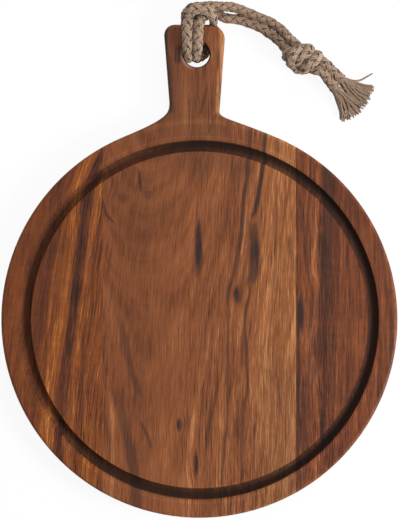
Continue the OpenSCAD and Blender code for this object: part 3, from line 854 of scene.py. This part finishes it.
def acacia(name, seed, broad, lines, lights, knot_places, reds, golds, gold_share, grain_share,
           slant=((-180, 0), (180, 0)), curl=0.0, heart=None):
    """Oiled acacia. broad gives the tone across the stave from dark 0 to light 1, lines
    and knot_places its dark figure, lights its pale streaks, reds and golds two rows of
    colours from dark to light, gold_share their mixture across the stave, grain_share how
    plain the fibres show, slant the middle line that the bands follow, and curl the
    ripple across the grain. Where a stave is cut flat above the tree's heart, heart
    gives the heart's x and how deep it lies along y: a year ring's number grows with the
    distance from it, which makes arches there and straight lines beside them. Each noise
    is given in waves a millimetre, first across the grain, which is the quicker way, and
    then along it."""
    finish = bpy.data.materials.new(name)
    finish.use_nodes = True
    tree = finish.node_tree
    shader = tree.nodes["Principled BSDF"]
    place = tree.nodes.new("ShaderNodeTexCoord")
    parts = tree.nodes.new("ShaderNodeSeparateXYZ")
    tree.links.new(place.outputs["Object"], parts.inputs[0])
    x, y, z = (Field(tree, parts.outputs[i]) * (1 / MM) for i in range(3))
    under = z - TOP_Z
    radius = (x * x + y * y).join("SQRT")

    # The way that the fibres run: round the knots, along the slant and round the heart
    spots, swerve = knots(x, y, knot_places)
    drift = noise(x * 0.020, y * 0.006, under * 0.03 + seed, 2.0)
    grain = x - swerve + under * 0.35
    flow = grain - y.through(slant) + drift * 2.5
    ring, strand = flow, flow
    if heart:
        heart_x, depths = heart
        aside, deep = flow - heart_x, y.through(depths)
        ring = (aside * aside + deep * deep).join("SQRT") + drift * 3.0
        strand = ring * 0.24 + flow * 0.80

    # Tone, from broad bands to fine threads. The fibres show plainer on part of the length
    bands = noise(ring * 0.085, y * 0.0028, seed + 3.1, 2.0)
    streaks = noise(ring * 0.24, y * 0.009, seed + 7.7, 3.0, 0.60)
    fibres = noise(strand * 0.82, y * 0.027, under * 0.3 + seed, 3.0, 0.65)
    threads = noise(strand * 1.8, y * 0.07, under * 0.8 + seed + 2.0, 2.0, 0.6)
    lines_of_pores = noise(strand * 0.95, y * 0.024, under * 0.5 + seed + 21.0, 2.0).ramp(0.05, 0.65)
    blotch = noise(x * 0.045, y * 0.026, seed + 11.0, 3.0, 0.55)
    plain = flow.through(grain_share) * y.through(
        ((-180, 1.20), (-70, 1.15), (40, 1.0), (130, 0.95), (180, 1.05), (280, 1.20)))
    fine = streaks * 0.15 + fibres * 0.22 + threads * 0.16 - lines_of_pores * 0.17 + 0.045
    tone = flow.through(broad) + bands * 0.10 + blotch * 0.09 + fine * plain
    if curl:
        tone = tone + noise(flow * 0.07, y * 0.21 + drift, seed, 2.0) * curl
    wobble = noise(grain * 0.15, y * 0.030, seed + 5.0, 3.0) * 1.3
    tone = tone + veins(grain + wobble, y, lights) * (fibres * 0.4 + 0.9)
    # painted highlight on the plate's outer edge and on the arris outside the groove
    tone = tone + edge_highlights(radius, under)

    # Colour, and over it the dark lines, the pores, the groove's painted shade, and the hole's
    # painted highlight and painted shade
    gold = flow.through(gold_share) + blotch * 0.22 + streaks * 0.22
    colour = blend_colours(tree, gold, colour_ramp(tree, tone, reds), colour_ramp(tree, tone, golds))
    ink = (veins(grain + wobble, y, lines).most(spots)) * (streaks * 0.5 + fibres * 0.7 + 1.05)
    colour = blend_colours(tree, ink, colour, VEIN_INK)
    pores = noise(strand * 1.25, y * 0.10, under * 1.1 + seed, 1.0).ramp(0.28, 0.78) * plain
    colour = blend_colours(tree, pores * 0.42, colour, PORE_BROWN)
    # painted shade: the groove is painted dark, most on its outer half on the key lamp's side
    trench, painted_shade = groove_painted_shade(x, y, radius, under)
    colour = blend_colours(tree, painted_shade, colour, GROOVE_SHADE)
    # painted highlight on the left of the hole's mouth, and painted shade on its wall
    pale, wall_shade = hole_edge(x, y)
    colour = blend_colours(tree, pale * 0.60, colour, HOLE_HIGHLIGHT)
    colour = blend_colours(tree, wall_shade * 0.78, colour, HOLE_SHADE)
    tree.links.new(colour, shader.inputs["Base Color"])

    # Oil leaves the wood half matt, and pores and threads are felt as a fine relief
    rough = tone * -0.06 + threads * 0.03 + trench * 0.30 + 0.52
    tree.links.new(rough.socket, shader.inputs["Roughness"])
    shader.inputs["Specular IOR Level"].default_value = 0.16
    bump = tree.nodes.new("ShaderNodeBump")
    bump.inputs["Strength"].default_value = 0.35
    bump.inputs["Distance"].default_value = 0.0002
    height = threads * 0.25 + fibres * 0.20 - pores * 0.8
    tree.links.new(height.socket, bump.inputs["Height"])
    tree.links.new(bump.outputs[0], shader.inputs["Normal"])
    return finish


def dress_stave(node, finish):
    """Puts a finish on a stave's own solid, which is shown as it is."""
    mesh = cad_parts[node].data
    mesh.materials.clear()
    mesh.materials.append(finish)


# Left stave: redder heartwood. A bright orange band and a purple one beside it run down
# it at a slant, and its outer part has a faint cross ripple.
left_finish = acacia(
    "acacia_left", 2.0,
    broad=((-60, 0.46), (-40, 0.44), (-26, 0.42), (-14, 0.36), (-8, 0.40), (-4, 0.56), (0, 0.66),
           (4, 0.62), (7, 0.30), (10, 0.20), (13, 0.26), (16, 0.46), (19, 0.58), (22, 0.46),
           (26, 0.38), (31, 0.46), (36, 0.48), (60, 0.46)),
    gold_share=((-60, 0.40), (-20, 0.30), (-6, 0.55), (1, 0.75), (8, 0.10), (13, 0.15),
                (24, 0.50), (60, 0.50)),
    lines=((4.0, ((-180, -116, 0), (-110, -119, 0.10), (-60, -119, 0.22), (0, -116, 0.20),
                  (60, -109, 0.28), (110, -97, 0.30), (150, -92, 0.05), (180, -90, 0))),
           (1.5, ((-180, -100, 0), (-90, -106, 0.2), (-20, -104, 0.25), (50, -98, 0.15),
                  (100, -94, 0), (180, -92, 0)))),
    knot_places=((-92, 127, 2.0, 3.5, 0.35),),
    lights=((1.6, ((-180, -104, 0), (84, -92, 0.05), (95, -89, 0.22), (104, -88, 0.30),
                   (116, -88, 0.20), (150, -88, 0.10), (180, -88, 0))),
            (2.4, ((-180, -132, 0.10), (-80, -136, 0.22), (20, -133, 0.18), (80, -122, 0.16),
                   (140, -106, 0), (180, -100, 0)))),
    reds=((40, 22, 14), (75, 39, 25), (105, 56, 31), (131, 73, 39), (164, 100, 57)),
    golds=((44, 25, 12), (80, 43, 21), (114, 62, 29), (146, 83, 36), (182, 114, 55)),
    slant=((-180, -141), (-62, -133), (-41, -130), (-19, -127), (2, -124), (24, -122), (45, -119),
           (66, -115.5), (88, -113), (109, -110.5), (130, -104), (150, -97), (180, -88)),
    curl=0.055, grain_share=((-60, 1.0), (-10, 1.3), (14, 2.0), (60, 1.7)))
dress_stave("stave_left", left_finish)


# Centre stave: wide, with arched figure on its left half. Soft dark veins and small
# knots run down its right half, and a light tan strip lies along the right joint.
centre_finish = acacia(
    "acacia_centre", 5.0,
    broad=((-90, 0.46), (-80, 0.50), (-60, 0.46), (-40, 0.50), (-20, 0.54), (-6, 0.50), (6, 0.52),
           (20, 0.53), (30, 0.50), (38, 0.52), (48, 0.52), (56, 0.61), (66, 0.64), (74, 0.61),
           (82, 0.68), (90, 0.71)),
    gold_share=((-90, 0.40), (-50, 0.45), (-10, 0.45), (20, 0.60), (40, 0.55), (56, 0.85),
                (90, 0.95)),
    lines=((3.6, ((-180, 27, 0), (14, 27, 0), (28, 27.4, 0.32), (40, 30, 0.42), (56, 33.6, 0.50),
                  (78, 37.2, 0.66), (98, 38.5, 0.72), (107, 39.6, 0.74), (121, 41.7, 0.72),
                  (136, 43.5, 0.68), (150, 44.6, 0.62), (180, 46.5, 0.5))),
           (2.3, ((-180, 18, 0.25), (-130, 21, 0.42), (-112, 22.4, 0.45), (-93, 24.3, 0.40),
                  (-59, 25.6, 0.50), (-27, 25.2, 0.48), (1, 25.6, 0.42), (31, 27, 0.35),
                  (44, 29, 0), (180, 30, 0))),
           (2.6, ((-180, 38, 0.25), (-121, 38.4, 0.35), (-93, 38.6, 0.45), (-74, 40.4, 0.52),
                  (-58, 42.4, 0.54), (-40, 42.4, 0.52), (-20, 41.6, 0.56), (-4, 40.8, 0.52),
                  (8, 41.2, 0.56), (20, 43, 0.55), (31, 45.5, 0.50), (44, 46, 0), (180, 46, 0))),
           (3.4, ((-180, 47, 0), (84, 47.2, 0), (92, 47.9, 0.35), (97, 49.8, 0.80),
                  (108, 52.2, 0.86), (121, 54.4, 0.84), (140, 57, 0.74), (168, 59, 0.62),
                  (180, 60, 0.5))),
           (8.0, ((-180, 44, 0), (26, 44, 0), (32, 46, 0.40), (38, 47.8, 0.64), (46, 49.4, 0.72),
                  (60, 49.4, 0.78), (74, 48.6, 0.68), (86, 47.8, 0.38), (95, 47, 0), (180, 48, 0))),
           (2.8, ((-180, 48, 0), (28, 46, 0), (36, 48.4, 0.4), (44, 50.4, 0.80), (53, 51, 0.92),
                  (64, 51, 0.94), (72, 50.4, 0.7), (80, 49, 0), (180, 49, 0))),
           (3.6, ((-180, 84, 0), (38, 83.5, 0), (47, 83.4, 0.35), (66, 81.7, 0.38), (80, 81, 0),
                  (180, 80, 0))),
           (2.8, ((-180, 58, 0.08), (-90, 60, 0.16), (-48, 61, 0.28), (-18, 62, 0.18),
                  (44, 67.5, 0.30), (80, 68.5, 0.38), (120, 69, 0.30), (150, 70, 0.25),
                  (180, 71, 0.1))),
           (1.5, ((-180, 79, 0.30), (-150, 80, 0.38), (-125, 80, 0.20), (-104, 80, 0.48),
                  (-84, 79.5, 0.28), (-60, 77, 0), (180, 76, 0))),
           (2.6, ((-180, -70, 0), (84, -76, 0), (87, -77.5, 0.45), (95, -83, 0.58),
                  (106, -86, 0.50), (114, -87, 0), (180, -87, 0))),
           (2.8, ((-180, -53, 0), (112, -52, 0), (118, -52.5, 0.60), (130, -53.5, 0.66),
                  (136, -54, 0), (180, -54, 0))),
           (5.0, ((-180, -48, 0), (-78, -50, 0), (-66, -54, 0.38), (-56, -57, 0.48),
                  (-43, -61, 0.46), (-20, -66, 0.36), (-2, -71, 0.30), (8, -73, 0), (180, -74, 0))),
           (3.0, ((-180, -40, 0), (-122, -42, 0), (-112, -44, 0.45), (-100, -48, 0.50),
                  (-92, -52, 0.25), (-80, -56, 0), (180, -56, 0))),
           (8.0, ((-180, -55, 0.3), (-142, -58, 0.46), (-118, -62, 0.46), (-98, -66, 0.40),
                  (-80, -70, 0.34), (-66, -74, 0.2), (-50, -80, 0), (180, -80, 0))),
           (60.0, ((-180, 0, 0), (120, 0, 0), (146, -2, 0.24), (190, -5, 0.19), (280, -8, 0.18))),
           (20.0, ((-180, -30, 0), (160, -30, 0), (190, -26, 0.34), (280, -30, 0.32))),
           (36.0, ((-180, 72, 0.24), (-60, 72, 0.20), (-20, 70, 0.06), (20, 66, 0), (180, 66, 0))),
           (3.2, ((-180, -8, 0), (176, -1.5, 0), (185, 1.6, 0.45), (196, 4, 0.52), (207, 6.4, 0.45),
                  (216, 8, 0), (280, 8, 0))),
           (3.2, ((-180, 7, 0), (161, 7, 0), (166, 8, 0.42), (175, 11.2, 0.50), (184, 14.4, 0.40),
                  (192, 17, 0), (280, 20, 0))),
           (5.0, ((-180, -19, 0), (224, -20, 0), (231, -19.5, 0.75), (243, -19, 0.80),
                  (249, -19, 0), (280, -19, 0))),
           (5.4, ((-180, -22, 0), (176, -22, 0), (187, -25, 0.62), (197, -25.6, 0.68),
                  (230, -27.6, 0.66), (245, -30, 0.76), (258, -30.4, 0.80), (268, -29, 0.60),
                  (280, -28, 0)))),
    lights=((2.2, ((-180, 36, 0), (50, 35.5, 0.05), (60, 37, 0.26), (74, 39.4, 0.34),
                   (92, 41, 0.28), (104, 42.5, 0.10), (180, 44, 0))),
            (3.0, ((-180, -80, 0.05), (-100, -78, 0.20), (-72, -79, 0.16), (-40, -82, 0),
                   (180, -84, 0))),
            (4.4, ((-180, -8, 0.05), (-74, -7, 0.14), (-40, -5.5, 0.04), (60, -5.5, 0.03),
                   (78, -6, 0.10), (98, -5.5, 0.12), (114, -5, 0), (180, -5, 0))),
            (7.0, ((-180, -15, 0), (108, -18, 0), (122, -15, 0.10), (140, -12, 0.10), (154, -10, 0),
                   (180, -10, 0))),
            (4.2, ((-180, 14, 0), (174, 14, 0), (187, 15.5, 0.24), (197, 16, 0.30), (221, 18.4, 0.40),
                   (245, 20.2, 0.48), (258, 19.4, 0.40), (268, 18, 0.12), (280, 17, 0)))),
    knot_places=((-0.7, 64, 4.2, 32, 0.96), (33.4, 22.5, 3.6, 9.5, 0.90), (-18, -94, 3.0, 7.5, 0.85),
                 (-7, 216, 2.0, 4.5, 0.35),
                 (-3, -129, 2.7, 14, 0.88), (-67.5, 109, 6.5, 5.5, 0.38), (-46, 112, 5.0, 5.0, 0.30),
                 (-19, 236, 2.0, 10, 0.92)),
    reds=((36, 20, 15), (71, 40, 27), (109, 60, 37), (136, 80, 51), (166, 108, 72)),
    golds=((44, 26, 16), (80, 47, 27), (116, 69, 38), (147, 92, 54), (182, 125, 77)),
    slant=((-180, -2), (0, 0), (180, 3)), heart=(-46, (
        (-180, 86), (-60, 78), (20, 70), (60, 60), (100, 47), (135, 32), (165, 14), (180, 12),
        (280, 12))),
    grain_share=((-90, 0.95), (-50, 0.80), (-15, 1.05), (15, 1.45), (50, 1.70), (90, 1.55)))
dress_stave("stave_centre", centre_finish)


# Right stave: dark red heartwood with a small knot at the joint. The grain curls round
# the knot, and a grey-brown streak runs down beside it.
right_finish = acacia(
    "acacia_right", 9.0,
    broad=((86, 0.38), (92, 0.44), (98, 0.41), (104, 0.46), (108, 0.32), (114, 0.26), (120, 0.30),
           (128, 0.39), (142, 0.43), (156, 0.45), (166, 0.43), (174, 0.42), (180, 0.45)),
    gold_share=((86, 0.35), (104, 0.45), (112, 0.40), (130, 0.20), (150, 0.15), (166, 0.35),
                (180, 0.35)),
    lines=((9.0, ((-180, 90, 0.1), (-120, 91, 0.24), (-85, 94, 0.36), (-50, 99, 0.34),
                  (-15, 105, 0.26), (20, 111, 0.26), (60, 114, 0.38), (100, 115, 0.44),
                  (128, 115, 0.38), (150, 113, 0.30), (180, 112, 0.2))),
           (2.0, ((-180, 87, 0.3), (-60, 88, 0.35), (0, 89, 0.2), (60, 88.5, 0.15),
                  (75, 87.5, 0.55), (120, 86.8, 0.60), (160, 86.5, 0.4), (180, 86.5, 0.3))),
           (2.4, ((-180, 98, 0), (-20, 99, 0.20), (8, 98, 0.45), (30, 99, 0.30), (52, 96, 0.45),
                  (90, 97, 0.42), (120, 99, 0.40), (180, 101, 0.3))),
           (2.6, ((-180, 158, 0.2), (-60, 170, 0.35), (-40, 171, 0.50), (-4, 172, 0.55),
                  (20, 168, 0.30), (90, 160, 0.35), (180, 150, 0.2)))),
    lights=((3.0, ((-180, 104, 0.03), (6, 108, 0.06), (24, 107, 0.18), (38, 105, 0.24),
                   (52, 101.5, 0.28), (66, 102.5, 0.30), (95, 104.6, 0.26), (120, 106, 0.24),
                   (140, 107, 0.18), (180, 108, 0.1))),
            (2.0, ((-180, 120, 0.05), (-60, 122, 0.16), (0, 125, 0.10), (60, 127, 0.15),
                   (120, 128, 0.05), (180, 128, 0)))),
    knot_places=((90, 5, 4.6, 18, 0.96), (106, 9, 4.5, 15, 0.30)),
    reds=((37, 20, 15), (67, 36, 24), (99, 52, 31), (124, 68, 42), (152, 93, 61)),
    golds=((44, 25, 15), (77, 43, 25), (109, 61, 34), (135, 81, 47), (170, 112, 69)),
    curl=0.06, grain_share=((86, 2.0), (110, 2.0), (130, 1.4), (160, 1.4), (180, 1.5)))
dress_stave("stave_right", right_finish)
